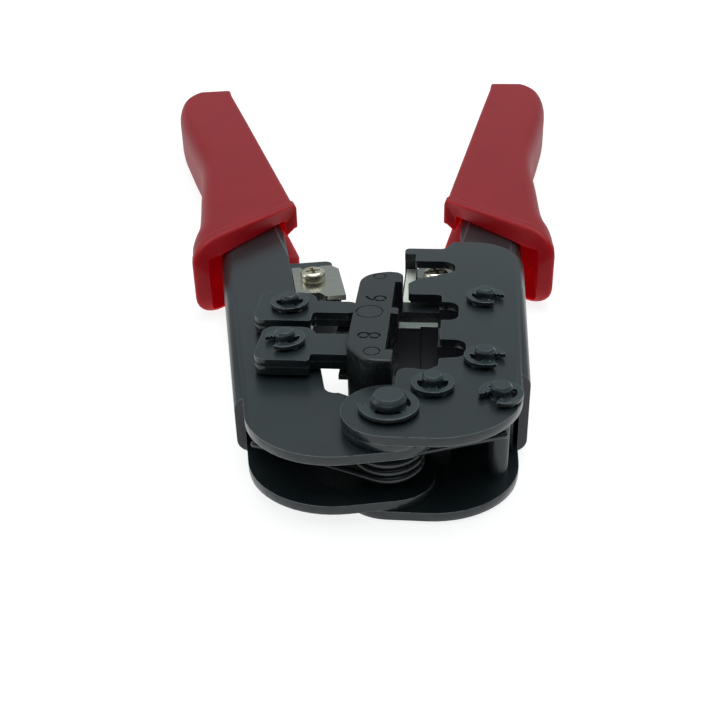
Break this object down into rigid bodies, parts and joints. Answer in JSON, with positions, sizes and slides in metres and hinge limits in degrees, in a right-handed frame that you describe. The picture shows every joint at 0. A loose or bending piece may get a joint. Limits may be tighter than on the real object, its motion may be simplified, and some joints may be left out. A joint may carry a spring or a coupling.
{
  "type": "modular plug crimping tool",
  "caption": "Hand crimping tool for modular telephone and network plugs: sprung steel jaws, link-driven punches, plug holder, wire cutter and stripper, soft red grips.",
  "frame": {"origin": "on the axis of the main pivot pin, in the plane on which the tool rests: the undersides of the pin heads and of the grips", "axes": "+Z along the pivot pin towards its clip; +Y from the pivot towards the ends of the grips, on the centre line of the closed tool; +X the direction in which the punches press, towards the right frame"},
  "size_m": [0.1025, 0.1901, 0.0171],
  "materials": {
    "black_paint": "satin",
    "dark_steel": "semi-gloss",
    "holder_black": "fine grained",
    "blade_steel": "ground",
    "anvil_steel": "blackened, worn bright on top",
    "spring_steel": "oiled",
    "screw_nickel": "nickel plated",
    "grip_red": "satin"
  },
  "bodies": {
    "right_half": {"right_frame": "black_paint", "right_grip": "grip_red", "main_pivot_pin": "dark_steel", "main_pivot_clip": "dark_steel", "pivot_washer": "black_paint", "torsion_spring": "spring_steel", "plug_holder": "holder_black", "latch_anvil": "anvil_steel", "die_pins": "dark_steel", "guide_pin": "dark_steel", "spring_stop_pin": "dark_steel", "head_pin_clips": "dark_steel", "fixed_blade": "blade_steel", "right_blade_screw": "screw_nickel"},
    "left_half": {"left_frame": "black_paint", "left_grip": "grip_red", "link_pins": "dark_steel", "link_pin_clips": "dark_steel", "link_washers": "dark_steel", "cutting_blade": "blade_steel", "stripping_blade": "blade_steel", "left_blade_screws": "screw_nickel"},
    "upper_link_8p": {"link_8p": "black_paint"},
    "upper_link_6p": {"link_6p": "black_paint"},
    "press_punch_8p": {"punch_8p": "anvil_steel", "punch_pin_8p": "dark_steel"},
    "press_punch_6p": {"punch_6p": "anvil_steel", "punch_pin_6p": "dark_steel"}
  },
  "joints": [
    {"name": "handle_close", "type": "hinge", "parent": "right_half", "child": "left_half", "pos_m": [0, 0, 0], "axis": [0, 0, -1], "range_deg": [0, 13.5], "deforming": ["torsion_spring"]},
    {"name": "link_8p_pivot", "type": "hinge", "parent": "left_half", "child": "upper_link_8p", "pos_m": [-0.017, 0.0175, 0.0133], "axis": [0, 0, -1], "range_deg": [0, 7.5]},
    {"name": "link_6p_pivot", "type": "hinge", "parent": "left_half", "child": "upper_link_6p", "pos_m": [-0.0183, 0.0303, 0.0133], "axis": [0, 0, -1], "range_deg": [0, 9]},
    {"name": "punch_8p_slide", "type": "slide", "parent": "right_half", "child": "press_punch_8p", "axis": [1, 0, 0], "range_m": [0, 0.004]},
    {"name": "punch_6p_slide", "type": "slide", "parent": "right_half", "child": "press_punch_6p", "axis": [1, 0, 0], "range_m": [0, 0.007]}
  ],
  "couplings": [
    {"joint": "link_8p_pivot", "follows": "handle_close", "ratio": 0.5415},
    {"joint": "link_6p_pivot", "follows": "handle_close", "ratio": 0.6523},
    {"joint": "punch_8p_slide", "follows": "handle_close", "m_per_rad": 0.016767},
    {"joint": "punch_6p_slide", "follows": "handle_close", "m_per_rad": 0.029356}
  ]
}
